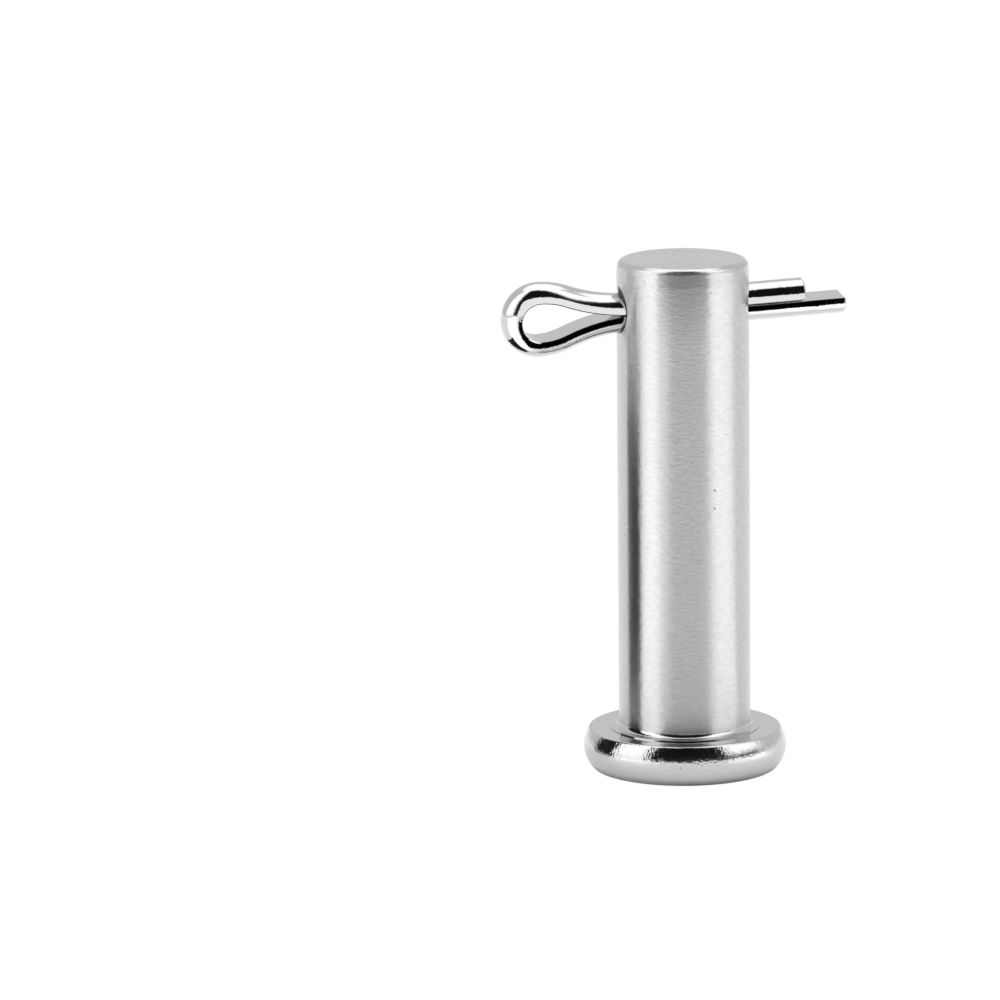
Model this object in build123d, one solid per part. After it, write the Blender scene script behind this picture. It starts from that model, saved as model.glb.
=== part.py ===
from build123d import *

import os
from math import acos, asin, atan2, degrees, sin, sqrt

# A clevis pin with its cotter pin in place, standing on its head. Sizes are in millimetres.
# The origin is the centre of the head's outer face, and +Z runs up the shank to the free end.
# +X runs along the cross hole, out of the mouth that the ends of the cotter pin's legs pass.

# Clevis pin: one turned piece
shank_diameter = 10.0
shank_length = 36.1  # from the head's bearing face to the free end
head_diameter = 15.42  # where the rounded rim is widest
head_thickness = 3.1
rim_height = 1.71  # of the rim's widest line above the head's outer face
rim_side_radius = 2.33
rim_corner_radius = 0.2  # where the rim's side meets the head's two flat faces
neck_fillet = 0.4
neck_ring_width = 0.3  # the low step left round the foot of the neck fillet
neck_ring_height = 0.08
end_taper = 0.07  # taken off the shank's radius at the free end
end_taper_length = 1.4
end_edge_radius = 0.5

# Cross hole, deburred at both mouths
hole_diameter = 3.55
hole_to_end = 3.7  # from the hole's axis to the free end
mouth_chamfer = 0.12

# Cotter pin: one half-round wire, folded with its flats face to face
cotter_play = 0.65  # the hole's diameter less that of the folded pair
leg_gap = 0.1  # between the flats of the two legs
wire_edge_bevel = 0.08  # where the wire's flat meets its round side
leg_end_bevel = 0.12
short_leg_overhang = 4.28  # upper leg, past the shank
long_leg_extra = 3.05  # lower leg, past the upper one
eye_opening = 2.93  # between the flats where the eye is widest
throat_depth = 0.97  # from the shank's surface in to where the legs part
throat_radius = 13.5
flank_radius = 4.84  # the eye's two sides, from the throat to the half-round nose
seat_clearance = 0.1  # between the tilted legs and the bore, at its two lips
cotter_roll = 3.0  # degrees about its own axis, flats towards -Y

shank_radius = shank_diameter / 2
total_length = head_thickness + shank_length
ring_radius = shank_radius + neck_fillet + neck_ring_width
rim_side_x = head_diameter / 2 - rim_side_radius
hole_radius = hole_diameter / 2
hole_z = total_length - hole_to_end
bore_half_length = shank_radius - mouth_chamfer
pair_radius = (hole_diameter - cotter_play) / 2
leg_offset = leg_gap / 2


def rim_corner(side_height):
    """Where a corner arc ends on its flat face, and how far up the side arc it begins, in degrees.

    The corner touches the side arc and a face that lies side_height from the rim's widest line.
    """
    reach = rim_side_radius - rim_corner_radius
    rise = side_height - rim_corner_radius
    return rim_side_x + sqrt(reach**2 - rise**2), degrees(asin(rise / reach))


def pin_profile():
    """Half of the pin's section, from its axis out, in the XZ plane."""
    neck_z = head_thickness + neck_ring_height
    outer_x, outer_turn = rim_corner(rim_height)
    bearing_x, bearing_turn = rim_corner(head_thickness - rim_height)
    corner = rim_corner_radius
    with BuildSketch(Plane.XZ) as section:
        with BuildLine():
            Line((0, 0), (outer_x, 0))
            CenterArc((outer_x, corner), corner, 270, 90 - outer_turn)
            CenterArc((rim_side_x, rim_height), rim_side_radius, -outer_turn, outer_turn + bearing_turn)
            CenterArc((bearing_x, head_thickness - corner), corner, bearing_turn, 90 - bearing_turn)
            Polyline(
                (bearing_x, head_thickness),
                (ring_radius, head_thickness),
                (ring_radius, neck_z),
                (shank_radius + neck_fillet, neck_z),
            )
            CenterArc((shank_radius + neck_fillet, neck_z + neck_fillet), neck_fillet, 270, -90)
            Polyline(
                (shank_radius, neck_z + neck_fillet),
                (shank_radius, total_length - end_taper_length),
                (shank_radius - end_taper, total_length),
                (0, total_length),
                (0, 0),
            )
        make_face()
        end_corner = section.vertices().group_by(Axis.Y)[-1].sort_by(Axis.X)[-1]
        fillet(end_corner, end_edge_radius)
    return section.sketch


def clevis_pin():
    """The turned pin, seam to the sides, drilled along X and chamfered round both mouths of the hole."""
    turned = Rot(0, 0, 90) * revolve(pin_profile(), Axis.Z)
    drilled = turned - Pos(0, 0, hole_z) * Rot(0, 90, 0) * Cylinder(hole_radius, 4 * shank_radius)
    mouths = drilled.edges().filter_by(GeomType.BSPLINE)
    return chamfer(mouths, mouth_chamfer)


def wire_path():
    """The line of the wire's flat, from the upper leg's end round the eye to the lower leg's end."""
    half_opening = eye_opening / 2
    short_end = shank_radius + short_leg_overhang
    arcs = throat_radius + flank_radius
    # the throat and flank arcs touch, so the height between the leg and the widest point fixes their run
    lean = acos((arcs - (half_opening - leg_offset)) / arcs)
    throat_x = throat_depth - shank_radius
    flank_x = throat_x - arcs * sin(lean)
    flank_height = half_opening - flank_radius
    lean = degrees(lean)
    with BuildLine(Plane.XZ) as path:
        Line((short_end, leg_offset), (throat_x, leg_offset))
        CenterArc((throat_x, leg_offset + throat_radius), throat_radius, 270, -lean)
        CenterArc((flank_x, flank_height), flank_radius, 90 - lean, lean)
        CenterArc((flank_x, 0), half_opening, 90, 180)
        CenterArc((flank_x, -flank_height), flank_radius, 270, lean)
        CenterArc((throat_x, -leg_offset - throat_radius), throat_radius, 90 + lean, -lean)
        Line((throat_x, -leg_offset), (short_end + long_leg_extra, -leg_offset))
    return path.wire()


def wire_section(path):
    """The half-round section at the path's start: the flat on the path, the round side away from the other leg."""
    bevel_x = sqrt(pair_radius**2 - (leg_offset + wire_edge_bevel) ** 2)
    flat_x = sqrt(pair_radius**2 - leg_offset**2) - wire_edge_bevel
    with BuildSketch(Plane(path @ 0, x_dir=(0, -1, 0), z_dir=path % 0)) as section:
        with BuildLine():
            Polyline((-bevel_x, wire_edge_bevel), (-flat_x, 0), (flat_x, 0), (bevel_x, wire_edge_bevel))
            ThreePointArc(
                (bevel_x, wire_edge_bevel), (0, pair_radius - leg_offset), (-bevel_x, wire_edge_bevel)
            )
        make_face()
    return section.sketch


def tilt_in_bore():
    """Degrees by which the folded pair leans across the bore before it is seat_clearance from both lips."""
    reach = hole_radius - seat_clearance
    return degrees(
        acos(pair_radius / sqrt(bore_half_length**2 + reach**2)) - atan2(bore_half_length, reach)
    )


def cotter_pin():
    """The eye hangs down on one lip of the bore, and the legs rise to the other."""
    path = wire_path()
    wire = sweep(wire_section(path), path=path)
    leg_ends = wire.faces().filter_by(Plane.YZ).sort_by(Axis.X)[-2:]
    wire = chamfer(leg_ends.edges(), leg_end_bevel)
    return Pos(0, 0, hole_z) * Rot(0, -tilt_in_bore(), 0) * Rot(cotter_roll, 0, 0) * wire


os.makedirs("parts", exist_ok=True)
export_step(clevis_pin(), "parts/clevis_pin.step")
export_step(cotter_pin(), "parts/cotter_pin.step")
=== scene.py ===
"""Finishes a clevis pin and the cotter pin through it in stainless steel, on a white studio floor.

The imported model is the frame: both solids are used as they are, and each gets the
finish that its making leaves. The pin is turned, with a ground satin shank and a
tumbled bright head. The cotter pin is bent from bright half-round wire.
All lengths are in metres, in the frame's own axes: Z runs up the shank from the
head's outer face, and X runs along the cross hole.
"""

import math

import bmesh
import bpy
from mathutils import Euler, Matrix, Vector


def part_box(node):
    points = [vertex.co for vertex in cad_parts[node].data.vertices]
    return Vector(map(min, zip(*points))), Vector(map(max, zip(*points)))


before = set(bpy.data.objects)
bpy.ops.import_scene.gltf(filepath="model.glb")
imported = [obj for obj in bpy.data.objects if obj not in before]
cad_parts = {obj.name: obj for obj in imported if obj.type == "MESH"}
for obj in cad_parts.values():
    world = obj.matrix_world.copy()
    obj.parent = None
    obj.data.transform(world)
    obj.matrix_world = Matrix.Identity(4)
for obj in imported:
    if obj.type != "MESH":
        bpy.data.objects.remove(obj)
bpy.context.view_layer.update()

bl_info = {
    "name": "Clevis pin finish",
    "version": (1, 0, 0),
    "blender": (4, 5, 0),
    "location": "View3D > Sidebar > Clevis pin",
    "description": "Steel finishes and a studio for a clevis pin with its cotter pin",
    "category": "Material",
}

MM = 0.001
PIN_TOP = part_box("clevis_pin")[1].z

SHANK_RADIUS = 5.0 * MM
NECK_TOP = 3.58 * MM
HOLE_CENTRE = (0.0, 0.0, 35.5 * MM)
HOLE_RADIUS = 1.775 * MM

# the way that the camera looks: turned from the cross hole's square view, then down
VIEW_TURN = math.radians(10.0)
VIEW_DROP = math.radians(11.78)
HEADING = Vector((math.sin(VIEW_TURN), math.cos(VIEW_TURN), 0.0))
RIGHT = Vector((HEADING.y, -HEADING.x, 0.0))
UP = Vector((0.0, 0.0, 1.0))


# ---------------------------------------------------------------- node helpers


def add(tree, kind, values=(), **settings):
    """A new node of that kind, with its settings, and its sockets given values or links."""
    made = tree.nodes.new(kind)
    for name, value in settings.items():
        setattr(made, name, value)
    for name, value in dict(values).items():
        give(tree, made.inputs[name], value)
    return made


def give(tree, socket, value):
    """Links the socket to value where that is a socket, and otherwise sets it."""
    if isinstance(value, bpy.types.NodeSocket):
        tree.links.new(value, socket)
    else:
        socket.default_value = value


def math_node(tree, operation, first, second=0.0, clamp=False):
    """The result of one sum on two values."""
    values = {0: first, 1: second}
    return add(tree, "ShaderNodeMath", values, operation=operation, use_clamp=clamp).outputs[0]


def length_of(tree, vector):
    """How long the vector is."""
    return add(tree, "ShaderNodeVectorMath", {0: vector}, operation="LENGTH").outputs["Value"]


def along(tree, vector, direction):
    """How far the vector reaches in that direction."""
    values = {0: vector, 1: tuple(direction)}
    return add(tree, "ShaderNodeVectorMath", values, operation="DOT_PRODUCT").outputs["Value"]


def scaled(tree, vector, factors):
    """The vector with each of its parts multiplied by its own factor."""
    values = {0: vector, 1: factors}
    return add(tree, "ShaderNodeVectorMath", values, operation="MULTIPLY").outputs["Vector"]


def ramp(tree, value, low, high, to_low=0.0, to_high=1.0):
    """A smooth step from to_low to to_high as value goes from low to high."""
    step = add(
        tree,
        "ShaderNodeMapRange",
        {"Value": value, "From Min": low, "From Max": high, "To Min": to_low, "To Max": to_high},
        interpolation_type="SMOOTHSTEP",
    )
    return step.outputs["Result"]


def noise(tree, vector, scale, detail=2.0, roughness=0.5):
    """Noise from 0 to 1 on that vector."""
    made = add(
        tree,
        "ShaderNodeTexNoise",
        {"Vector": vector, "Scale": scale, "Detail": detail, "Roughness": roughness},
        noise_dimensions="3D",
    )
    return made.outputs["Fac"]


def blend(tree, factor, first, second):
    """first where factor is 0 and second where it is 1."""
    made = add(tree, "ShaderNodeMix", {"Factor": factor, "A": first, "B": second}, data_type="FLOAT")
    return made.outputs["Result"]


def new_group(name, inputs, outputs):
    """An empty shader node group with those sockets, and its two end nodes."""
    group = bpy.data.node_groups.new(name, "ShaderNodeTree")
    for label, kind, default in inputs:
        socket = group.interface.new_socket(name=label, in_out="INPUT", socket_type=kind)
        if default is not None:
            socket.default_value = default
    for label, kind in outputs:
        group.interface.new_socket(name=label, in_out="OUTPUT", socket_type=kind)
    return group, group.nodes.new("NodeGroupInput").outputs, group.nodes.new("NodeGroupOutput").inputs


def place(tree, group, values):
    """One use of the group, with its own values."""
    made = tree.nodes.new("ShaderNodeGroup")
    made.node_tree = group
    for name, value in values.items():
        give(tree, made.inputs[name], value)
    return made.outputs


# ---------------------------------------------------------------- shared effects


def tumbled_grain():
    """Fine rounded bumps that a tumbling barrel leaves, with a slower swell under them."""
    if "Tumbled grain" in bpy.data.node_groups:
        return bpy.data.node_groups["Tumbled grain"]
    group, given, out = new_group(
        "Tumbled grain",
        [
            ("Vector", "NodeSocketVector", None),
            ("Bump Size", "NodeSocketFloat", 0.1 * MM),
            ("Swell Size", "NodeSocketFloat", 0.8 * MM),
            ("Swell Share", "NodeSocketFloat", 0.4),
        ],
        [("Height", "NodeSocketFloat")],
    )
    fine = noise(group, given["Vector"], math_node(group, "DIVIDE", 1.0, given["Bump Size"]), 1.0, 0.5)
    swell = noise(group, given["Vector"], math_node(group, "DIVIDE", 1.0, given["Swell Size"]), 1.0)
    give(group, out["Height"], blend(group, given["Swell Share"], fine, swell))
    return group


def small_pits():
    """Sparse round pits: one in some of the cells of a loose grid, each with its own size."""
    if "Small pits" in bpy.data.node_groups:
        return bpy.data.node_groups["Small pits"]
    group, given, out = new_group(
        "Small pits",
        [
            ("Vector", "NodeSocketVector", None),
            ("Spacing", "NodeSocketFloat", 1.2 * MM),
            ("Pit Share", "NodeSocketFloat", 0.06),
        ],
        [("Mask", "NodeSocketFloat")],
    )
    cells = add(
        group,
        "ShaderNodeTexVoronoi",
        {"Vector": given["Vector"], "Scale": math_node(group, "DIVIDE", 1.0, given["Spacing"])},
        feature="F1",
    )
    tone = add(group, "ShaderNodeSeparateColor", {"Color": cells.outputs["Color"]}).outputs["Red"]
    reach = math_node(group, "MULTIPLY", tone, given["Pit Share"])
    inner = math_node(group, "MULTIPLY", reach, 0.5)
    give(group, out["Mask"], ramp(group, cells.outputs["Distance"], reach, inner))
    return group


def handling_film():
    """Faint cloudy film from handling and drying, as a value about zero."""
    if "Handling film" in bpy.data.node_groups:
        return bpy.data.node_groups["Handling film"]
    group, given, out = new_group(
        "Handling film",
        [
            ("Vector", "NodeSocketVector", None),
            ("Patch Size", "NodeSocketFloat", 4.0 * MM),
            ("Amount", "NodeSocketFloat", 0.05),
        ],
        [("Value", "NodeSocketFloat")],
    )
    cloud = noise(group, given["Vector"], math_node(group, "DIVIDE", 1.0, given["Patch Size"]), 4.0, 0.55)
    centred = math_node(group, "SUBTRACT", cloud, 0.5)
    give(group, out["Value"], math_node(group, "MULTIPLY", centred, given["Amount"]))
    return group


# ---------------------------------------------------------------- settings


class PinFinish(bpy.types.PropertyGroup):
    """The clevis pin's steel."""

    steel: bpy.props.FloatVectorProperty(
        name="Steel",
        description="Colour of the bare steel",
        default=(0.60, 0.602, 0.606),
        subtype="COLOR",
        min=0.0,
        max=1.0,
    )
    shank_roughness: bpy.props.FloatProperty(
        name="Shank roughness",
        description="Roughness of the ground shank",
        default=0.33,
        min=0.0,
        max=1.0,
        subtype="FACTOR",
    )
    head_roughness: bpy.props.FloatProperty(
        name="Head roughness",
        description="Roughness of the tumbled head",
        default=0.1,
        min=0.0,
        max=1.0,
        subtype="FACTOR",
    )
    end_roughness: bpy.props.FloatProperty(
        name="End roughness",
        description="Roughness of the faced free end",
        default=0.12,
        min=0.0,
        max=1.0,
        subtype="FACTOR",
    )
    grinding_spread: bpy.props.FloatProperty(
        name="Grinding spread",
        description="How far the grinding lines draw a reflection out along the shank",
        default=0.97,
        min=0.0,
        max=1.0,
        subtype="FACTOR",
    )


class CotterFinish(bpy.types.PropertyGroup):
    """The cotter pin's steel."""

    steel: bpy.props.FloatVectorProperty(
        name="Steel",
        description="Colour of the bare wire",
        default=(0.62, 0.62, 0.622),
        subtype="COLOR",
        min=0.0,
        max=1.0,
    )
    roughness: bpy.props.FloatProperty(
        name="Roughness",
        description="Roughness of the bright drawn wire",
        default=0.09,
        min=0.0,
        max=1.0,
        subtype="FACTOR",
    )


class Studio(bpy.types.PropertyGroup):
    """The floor, the light and the camera."""

    floor_colour: bpy.props.FloatVectorProperty(
        name="Floor",
        description="Colour of the plain floor",
        default=(0.9, 0.9, 0.9),
        subtype="COLOR",
        min=0.0,
        max=1.0,
    )
    wall_light: bpy.props.FloatProperty(
        name="Wall brightness",
        description="Brightness of the white walls behind and beside the pin",
        default=0.75,
        min=0.0,
    )
    room_light: bpy.props.FloatProperty(
        name="Room brightness",
        description="Brightness of the dim room behind the camera",
        default=0.008,
        min=0.0,
    )
    panel_light: bpy.props.FloatProperty(
        name="Panel brightness",
        description="Brightness of the soft light panels",
        default=1.65,
        min=0.0,
    )
    floor_glow: bpy.props.FloatProperty(
        name="Floor glow",
        description="How brightly the lit floor glows by itself",
        default=0.25,
        min=0.0,
    )
    lens: bpy.props.FloatProperty(
        name="Lens",
        description="Focal length of the camera",
        default=288.0,
        min=1.0,
        unit="CAMERA",
    )


# ---------------------------------------------------------------- the clevis pin


# where each finish lies
BEARING_FACE = 3.1 * MM
BEARING_RADIUS = 7.15 * MM
POLISHED_EDGE = 0.34 * MM
MOUTH_WIDTH = 0.6 * MM
BORE_ROUGHNESS = 0.3

# heights of the marks that the making leaves
GRINDING_LINES = 0.021 * MM
FACING_RINGS = 0.0004 * MM
RIM_GRAIN = 0.036 * MM
BEARING_GRAIN = 0.010 * MM
PIN_PITS = 0.02 * MM


def steel_colour(tree, steel, tone):
    """The bare steel's colour, made lighter or duller by tone."""
    plain = add(tree, "ShaderNodeCombineColor", dict(zip(("Red", "Green", "Blue"), steel)))
    shaded = {0: plain.outputs["Color"], "Scale": tone}
    return add(tree, "ShaderNodeVectorMath", shaded, operation="SCALE").outputs["Vector"]


def bumped(tree, height):
    """The surface's normal with that height laid on it, in metres."""
    laid = {"Strength": 1.0, "Distance": 1.0, "Height": height}
    return add(tree, "ShaderNodeBump", laid).outputs["Normal"]


def pin_steel_material(finish):
    """Turned steel: ground satin shank, tumbled bright head, faced end, drilled hole."""
    material = bpy.data.materials.new("Turned steel")
    material.use_nodes = True
    tree = material.node_tree
    shader = tree.nodes["Principled BSDF"]
    spot = add(tree, "ShaderNodeTexCoord").outputs["Object"]
    axes = add(tree, "ShaderNodeSeparateXYZ", {"Vector": spot}).outputs
    flat = scaled(tree, spot, (1.0, 1.0, 0.0))
    radius = length_of(tree, flat)

    # masks: 1 where each finish lies
    above_neck = ramp(tree, axes["Z"], NECK_TOP - 0.15 * MM, NECK_TOP + 0.05 * MM)
    on_end = ramp(tree, axes["Z"], PIN_TOP - POLISHED_EDGE, PIN_TOP - POLISHED_EDGE + 0.2 * MM)
    to_hole = {0: spot, 1: HOLE_CENTRE}
    from_hole = add(tree, "ShaderNodeVectorMath", to_hole, operation="SUBTRACT").outputs["Vector"]
    hole_distance = length_of(tree, scaled(tree, from_hole, (0.0, 1.0, 1.0)))
    inside = ramp(tree, radius, SHANK_RADIUS - 0.05 * MM, SHANK_RADIUS - 0.2 * MM)
    mouth = HOLE_RADIUS + MOUTH_WIDTH
    near_hole = ramp(tree, hole_distance, mouth + 0.15 * MM, mouth)
    in_hole = math_node(tree, "MULTIPLY", inside, near_hole)
    on_face = ramp(tree, axes["Z"], BEARING_FACE - 0.15 * MM, BEARING_FACE - 0.05 * MM)
    off_rim = ramp(tree, radius, BEARING_RADIUS + 0.05 * MM, BEARING_RADIUS - 0.05 * MM)
    on_bearing = math_node(tree, "MULTIPLY", on_face, off_rim)

    # grinding leaves short fine lines round the shank, and facing leaves rings on the flats
    lines = noise(tree, scaled(tree, spot, (1.0, 1.0, 3.2)), 1.0 / (0.55 * MM), 2.0, 0.6)
    outward = {"X": math_node(tree, "MULTIPLY", radius, 8.0), "Z": axes["Z"]}
    rings_spot = add(tree, "ShaderNodeCombineXYZ", outward).outputs["Vector"]
    rings = noise(tree, rings_spot, 1.0 / (1.0 * MM), 2.0)
    grain = place(
        tree,
        tumbled_grain(),
        {"Vector": spot, "Bump Size": 0.17 * MM, "Swell Size": 0.5 * MM, "Swell Share": 0.45},
    )
    pits = place(tree, small_pits(), {"Vector": spot, "Spacing": 1.5 * MM, "Pit Share": 0.07})["Mask"]
    film = place(tree, handling_film(), {"Vector": spot, "Patch Size": 5.0 * MM, "Amount": 0.10})["Value"]

    # roughness
    rough = blend(tree, above_neck, finish.head_roughness, finish.shank_roughness)
    rough = blend(tree, on_end, rough, finish.end_roughness)
    rough = blend(tree, in_hole, rough, BORE_ROUGHNESS)
    rough = math_node(tree, "ADD", rough, film)
    rough = math_node(tree, "ADD", rough, math_node(tree, "MULTIPLY", pits, 0.25), clamp=True)
    give(tree, shader.inputs["Roughness"], rough)

    # colour: the bare steel, a little duller in pits and in the film
    dashes = math_node(tree, "MULTIPLY", math_node(tree, "SUBTRACT", lines, 0.5), above_neck)
    tone = math_node(tree, "ADD", 1.0, film)
    tone = math_node(tree, "ADD", tone, math_node(tree, "MULTIPLY", dashes, 0.36))
    tone = math_node(tree, "SUBTRACT", tone, math_node(tree, "MULTIPLY", pits, 0.55))
    give(tree, shader.inputs["Base Color"], steel_colour(tree, finish.steel, tone))

    # height: lines on the shank, rings on the flats, bumps on the head, pits everywhere
    grain_height = blend(tree, on_bearing, RIM_GRAIN, BEARING_GRAIN)
    head_height = math_node(tree, "MULTIPLY", grain["Height"], grain_height)
    line_height = math_node(tree, "MULTIPLY", lines, GRINDING_LINES)
    ring_height = math_node(tree, "MULTIPLY", rings, FACING_RINGS)
    shank_height = blend(tree, on_end, line_height, ring_height)
    height = blend(tree, above_neck, head_height, 0.0)
    height = math_node(tree, "ADD", height, math_node(tree, "MULTIPLY", above_neck, shank_height))
    height = math_node(tree, "SUBTRACT", height, math_node(tree, "MULTIPLY", pits, PIN_PITS))
    give(tree, shader.inputs["Normal"], bumped(tree, height))

    # the grinding lines run round the axis
    turned = {0: (0.0, 0.0, 1.0), 1: flat}
    around = add(tree, "ShaderNodeVectorMath", turned, operation="CROSS_PRODUCT").outputs["Vector"]
    give(tree, shader.inputs["Tangent"], around)
    shader.inputs["Anisotropic"].default_value = finish.grinding_spread
    shader.inputs["Anisotropic Rotation"].default_value = 0.25
    shader.inputs["Metallic"].default_value = 1.0
    return material


class OBJECT_OT_finish_clevis_pin(bpy.types.Operator):
    """Give the clevis pin its ground shank, tumbled head and faced end"""

    bl_idname = "object.finish_clevis_pin"
    bl_label = "Finish the clevis pin"
    bl_options = {"REGISTER", "UNDO"}

    def execute(self, context):
        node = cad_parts["clevis_pin"]
        node.material_slots[0].material = pin_steel_material(context.scene.pin_finish)
        return {"FINISHED"}


# ---------------------------------------------------------------- the cotter pin


# each first where the wire is clean, then where it is scuffed
DRAW_LINES = (0.0015 * MM, 0.004 * MM)
WIRE_GRAIN = (0.003 * MM, 0.009 * MM)
WIRE_PITS = 0.01 * MM


def cotter_steel_material(finish):
    """Bright drawn wire: smooth, with faint draw lines along it and a fine tumbled grain."""
    material = bpy.data.materials.new("Bright drawn wire")
    material.use_nodes = True
    tree = material.node_tree
    shader = tree.nodes["Principled BSDF"]
    spot = add(tree, "ShaderNodeTexCoord").outputs["Object"]

    # the wire is bent in one plane, so lines of equal depth run along it
    draw_lines = noise(tree, scaled(tree, spot, (0.08, 1.0, 0.08)), 1.0 / (0.12 * MM), 2.0)
    grain = place(
        tree,
        tumbled_grain(),
        {"Vector": spot, "Bump Size": 0.14 * MM, "Swell Size": 0.9 * MM, "Swell Share": 0.3},
    )
    pits = place(tree, small_pits(), {"Vector": spot, "Spacing": 1.1 * MM, "Pit Share": 0.05})["Mask"]
    film = place(tree, handling_film(), {"Vector": spot, "Patch Size": 3.0 * MM, "Amount": 0.08})["Value"]
    wear = place(tree, handling_film(), {"Vector": spot, "Patch Size": 2.2 * MM, "Amount": 1.0})["Value"]
    scuffed = ramp(tree, wear, 0.0, 0.12)

    rough = math_node(tree, "ADD", finish.roughness, film)
    rough = math_node(tree, "ADD", rough, math_node(tree, "MULTIPLY", pits, 0.2), clamp=True)
    give(tree, shader.inputs["Roughness"], rough)

    tone = math_node(tree, "ADD", 1.0, film)
    tone = math_node(tree, "SUBTRACT", tone, math_node(tree, "MULTIPLY", pits, 0.5))
    give(tree, shader.inputs["Base Color"], steel_colour(tree, finish.steel, tone))

    height = math_node(tree, "MULTIPLY", draw_lines, blend(tree, scuffed, *DRAW_LINES))
    grain_height = math_node(tree, "MULTIPLY", grain["Height"], blend(tree, scuffed, *WIRE_GRAIN))
    height = math_node(tree, "ADD", height, grain_height)
    height = math_node(tree, "SUBTRACT", height, math_node(tree, "MULTIPLY", pits, WIRE_PITS))
    give(tree, shader.inputs["Normal"], bumped(tree, height))
    shader.inputs["Metallic"].default_value = 1.0
    return material


class OBJECT_OT_finish_cotter_pin(bpy.types.Operator):
    """Give the cotter pin its bright drawn wire"""

    bl_idname = "object.finish_cotter_pin"
    bl_label = "Finish the cotter pin"
    bl_options = {"REGISTER", "UNDO"}

    def execute(self, context):
        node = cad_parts["cotter_pin"]
        node.material_slots[0].material = cotter_steel_material(context.scene.cotter_finish)
        return {"FINISHED"}


# ---------------------------------------------------------------- the studio


# soft boxes in the surroundings: azimuth from and to, elevation from and to, softness, all in
# degrees, and share of the panel light. Azimuth is from the camera's side, positive to its right.
SOFT_BOXES = (
    (-90.0, -54.0, 8.0, 72.0, 15.0, 1.0),
    (58.0, 92.0, 22.0, 76.0, 14.0, 1.0),
)
# painted pools of light: the floor glows brighter under each soft box: azimuth from and to, softness, and
# added brightness
PAINTED_FLOOR_POOLS = (
    (-66.0, -36.0, 24.0, 0.7),
    (50.0, 84.0, 20.0, 0.9),
)
# the round light overhead: its lean away from the camera and its reach round its middle, in degrees
OVERHEAD_LEAN = 16.5
OVERHEAD_REACH = 26.5
OVERHEAD_SOFTNESS = 3.0
OVERHEAD_BRIGHTNESS = 0.97
UNDER_LIGHT = 0.8

FLOOR_REACH = 2.0
FLOOR_DROP = 0.02 * MM
HEAD_FOOT = 6.9 * MM
DARK_CARD_LIGHT = 0.02
PALE_CARD_LIGHT = 1.27

# cards that only the steel reflects: the piece they light, and each corner's place to the
# camera's right of the pin, toward the camera and up, in millimetres
DARK_CARDS = {
    "side_card": (None, ((-18, 5.2, 0.5), (-18, -4.2, 0.5), (-18, -4.2, 29), (-18, 5.2, 29))),
}
PALE_CARDS = {
    "level_card": ("cotter_pin", ((-20, 22, 33), (20, 22, 33), (20, 22, 49), (-20, 22, 49))),
    "front_floor": ("clevis_pin", ((-14, 19, 0.3), (34, 19, 0.3), (110, 165, 0.3), (-40, 165, 0.3))),
}

CAMERA_PLACE = Vector((-116.78, -582.11, 144.53)) * MM
CAMERA_LEAN = math.radians(-0.545)


def flat_card(name, corners, material, reflected_only=False, lit_piece=None):
    """A flat stage card with those corners.

    One that is only reflected keeps out of the picture. One with a lit piece lights that
    piece alone and is black to the other.
    """
    sheet = bpy.data.meshes.new(name)
    made = bmesh.new()
    made.faces.new([made.verts.new(corner) for corner in corners])
    made.to_mesh(sheet)
    made.free()
    sheet.materials.append(material)
    card = bpy.data.objects.new(name, sheet)
    if reflected_only:
        card.visible_camera = False
        card.visible_diffuse = False
        card.visible_transmission = False
    bpy.context.scene.collection.objects.link(card)
    if lit_piece:
        lit = bpy.data.collections.new(name + "_lights")
        lit.objects.link(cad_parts[lit_piece])
        card.light_linking.receiver_collection = lit


def band(tree, value, low, high, soft):
    """1 where value lies between low and high, falling to 0 over the soft width past each."""
    rise = ramp(tree, value, low - soft, low)
    fall = ramp(tree, value, high, high + soft, 1.0, 0.0)
    return math_node(tree, "MULTIPLY", rise, fall)


def azimuth_of(tree, vector):
    """Where the vector points, in degrees round from the camera's side, positive to its right."""
    turn = math_node(tree, "ARCTAN2", along(tree, vector, RIGHT), along(tree, vector, -HEADING))
    return math_node(tree, "DEGREES", turn)


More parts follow.
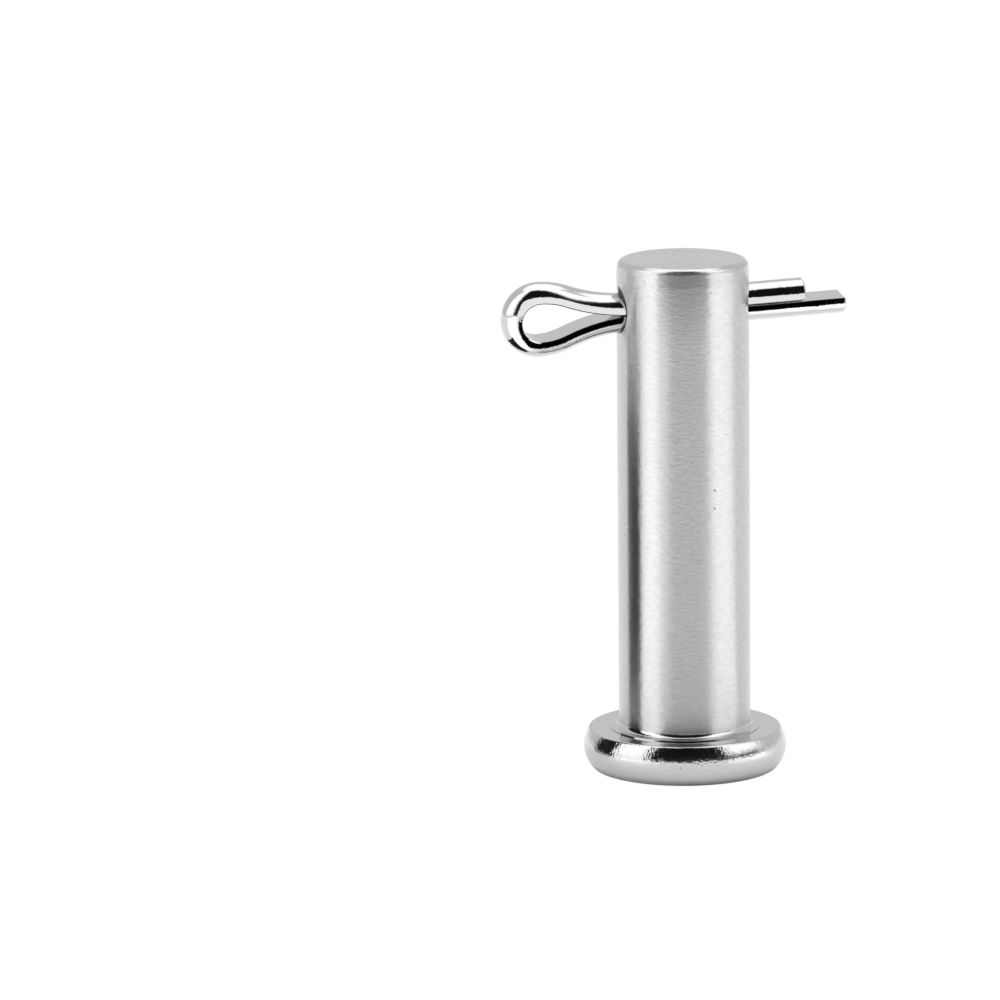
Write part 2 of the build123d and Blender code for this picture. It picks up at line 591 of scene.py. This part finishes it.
def floor_material(studio):
    """Plain matt white that glows a little, with painted pools of light under the soft boxes and painted
    shade round the head's foot.

    It is clear from below and open under the head, so the head's outer face can be seen.
    """
    material = bpy.data.materials.new("Studio floor")
    material.use_nodes = True
    tree = material.node_tree
    matt = tree.nodes["Principled BSDF"]
    matt.inputs["Base Color"].default_value = (*studio.floor_colour, 1.0)
    matt.inputs["Roughness"].default_value = 0.9
    matt.inputs["Specular IOR Level"].default_value = 0.0
    matt.inputs["Emission Color"].default_value = (1.0, 1.0, 1.0, 1.0)
    spot = add(tree, "ShaderNodeTexCoord").outputs["Object"]
    radius = length_of(tree, scaled(tree, spot, (1.0, 1.0, 0.0)))
    azimuth = azimuth_of(tree, spot)
    glow = studio.floor_glow
    away = ramp(tree, radius, 9.0 * MM, 26.0 * MM)
    # painted pools of light: the floor's glow is raised under each soft box, away from the pin
    for left, right, soft, painted_pool_light in PAINTED_FLOOR_POOLS:
        patch = math_node(tree, "MULTIPLY", away, band(tree, azimuth, left, right, soft))
        glow = math_node(tree, "ADD", glow, math_node(tree, "MULTIPLY", patch, painted_pool_light))
    # painted shade: the floor's glow fades to nothing at the head's foot, darkening the floor round the
    # rim's bottom edge
    glow = math_node(tree, "MULTIPLY", glow, ramp(tree, radius, HEAD_FOOT, HEAD_FOOT + 0.8 * MM))
    give(tree, matt.inputs["Emission Strength"], glow)
    clear = tree.nodes.new("ShaderNodeBsdfTransparent")
    plain = add(tree, "ShaderNodeEmission", {"Strength": 1.0})
    seen = add(tree, "ShaderNodeLightPath").outputs["Is Camera Ray"]
    above = add(tree, "ShaderNodeMixShader", {0: seen, 1: matt.outputs[0], 2: plain.outputs[0]})
    below = tree.nodes.new("ShaderNodeNewGeometry").outputs["Backfacing"]
    opening = ramp(tree, radius, HEAD_FOOT, HEAD_FOOT - 0.1 * MM)
    see_through = math_node(tree, "MAXIMUM", below, opening)
    choice = add(tree, "ShaderNodeMixShader", {0: see_through, 1: above.outputs[0], 2: clear.outputs[0]})
    tree.links.new(choice.outputs[0], tree.nodes["Material Output"].inputs["Surface"])
    return material


def card_material(name, brightness):
    """A card of one even brightness."""
    material = bpy.data.materials.new(name)
    material.use_nodes = True
    tree = material.node_tree
    even = add(tree, "ShaderNodeEmission", {"Strength": brightness})
    tree.links.new(even.outputs[0], tree.nodes["Material Output"].inputs["Surface"])
    return material


def studio_world(studio):
    """White to the eye. In reflections it has soft boxes, pale walls and a dim room by the camera."""
    world = bpy.data.worlds.new("Studio")
    world.use_nodes = True
    tree = world.node_tree
    surround = tree.nodes["Background"]
    way = add(tree, "ShaderNodeTexCoord").outputs["Generated"]
    azimuth = azimuth_of(tree, way)
    elevation = math_node(tree, "DEGREES", math_node(tree, "ARCSINE", along(tree, way, UP)))
    toward = along(tree, way, -HEADING)
    light = ramp(tree, toward, -0.12, 0.10, studio.wall_light, studio.room_light)
    for left, right, low, high, soft, brightness in SOFT_BOXES:
        wide = band(tree, azimuth, left, right, soft)
        tall = band(tree, elevation, low, high, soft)
        patch = math_node(tree, "MULTIPLY", wide, tall)
        light = blend(tree, patch, light, studio.panel_light * brightness)
    lean = math.radians(OVERHEAD_LEAN)
    overhead = along(tree, way, HEADING * math.sin(lean) + UP * math.cos(lean))
    edge, soft = math.radians(OVERHEAD_REACH), math.radians(OVERHEAD_SOFTNESS)
    above = ramp(tree, overhead, math.cos(edge + soft), math.cos(edge - soft))
    light = blend(tree, above, light, studio.panel_light * OVERHEAD_BRIGHTNESS)
    light = blend(tree, ramp(tree, elevation, -1.0, -4.0), light, UNDER_LIGHT)
    give(tree, surround.inputs["Strength"], light)
    surround.inputs["Color"].default_value = (1.0, 1.0, 1.0, 1.0)
    plain = add(tree, "ShaderNodeBackground", {"Color": (1.0, 1.0, 1.0, 1.0), "Strength": 1.0})
    seen = add(tree, "ShaderNodeLightPath").outputs["Is Camera Ray"]
    choice = add(tree, "ShaderNodeMixShader", {0: seen, 1: surround.outputs[0], 2: plain.outputs[0]})
    tree.links.new(choice.outputs[0], tree.nodes["World Output"].inputs["Surface"])
    return world


class SCENE_OT_set_pin_studio(bpy.types.Operator):
    """Build the floor, the soft light and the camera"""

    bl_idname = "scene.set_pin_studio"
    bl_label = "Set the studio"
    bl_options = {"REGISTER", "UNDO"}

    def execute(self, context):
        scene = context.scene
        studio = scene.studio
        ends = ((-1, -1), (1, -1), (1, 1), (-1, 1))
        floor = [(x * FLOOR_REACH, y * FLOOR_REACH, -FLOOR_DROP) for x, y in ends]
        flat_card("studio_floor", floor, floor_material(studio))
        for kind, brightness, cards in (
            ("Dark card", DARK_CARD_LIGHT, DARK_CARDS),
            ("Pale card", PALE_CARD_LIGHT, PALE_CARDS),
        ):
            material = card_material(kind, brightness)
            for name, (lit_piece, corners) in cards.items():
                places = [
                    (RIGHT * right - HEADING * toward + UP * up) * MM for right, toward, up in corners
                ]
                flat_card(name, places, material, reflected_only=True, lit_piece=lit_piece)
        scene.world = studio_world(studio)
        scene.view_settings.view_transform = "Standard"

        lens = bpy.data.cameras.new("camera")
        lens.sensor_width = 36.0
        lens.lens = studio.lens
        lens.clip_start, lens.clip_end = 0.01, 20.0
        camera = bpy.data.objects.new("camera", lens)
        tilt = Euler((math.pi / 2 - VIEW_DROP, 0.0, -VIEW_TURN)).to_matrix()
        lean = Matrix.Rotation(CAMERA_LEAN, 3, "Z")
        camera.matrix_world = Matrix.Translation(CAMERA_PLACE) @ (tilt @ lean).to_4x4()
        scene.collection.objects.link(camera)
        scene.camera = camera
        return {"FINISHED"}


# ---------------------------------------------------------------- the add-on


class VIEW3D_PT_clevis_pin(bpy.types.Panel):
    """Lists the steps and their settings"""

    bl_idname = "VIEW3D_PT_clevis_pin"
    bl_label = "Clevis pin"
    bl_space_type = "VIEW_3D"
    bl_region_type = "UI"
    bl_category = "Clevis pin"

    def draw(self, context):
        for label, step, settings in STEPS:
            box = self.layout.box()
            box.operator(step, text=label)
            group = getattr(context.scene, settings)
            for name in group.__annotations__:
                box.prop(group, name)


STEPS = (
    ("Finish the clevis pin", "object.finish_clevis_pin", "pin_finish"),
    ("Finish the cotter pin", "object.finish_cotter_pin", "cotter_finish"),
    ("Set the studio", "scene.set_pin_studio", "studio"),
)
SETTINGS = {"pin_finish": PinFinish, "cotter_finish": CotterFinish, "studio": Studio}
CLASSES = (
    PinFinish,
    CotterFinish,
    Studio,
    OBJECT_OT_finish_clevis_pin,
    OBJECT_OT_finish_cotter_pin,
    SCENE_OT_set_pin_studio,
    VIEW3D_PT_clevis_pin,
)


def register():
    for made in CLASSES:
        bpy.utils.register_class(made)
    for name, group in SETTINGS.items():
        setattr(bpy.types.Scene, name, bpy.props.PointerProperty(type=group))


def unregister():
    for name in SETTINGS:
        delattr(bpy.types.Scene, name)
    for made in reversed(CLASSES):
        bpy.utils.unregister_class(made)


def main():
    register()
    bpy.ops.object.finish_clevis_pin()
    bpy.ops.object.finish_cotter_pin()
    bpy.ops.scene.set_pin_studio()


if __name__ == "__main__":
    main()
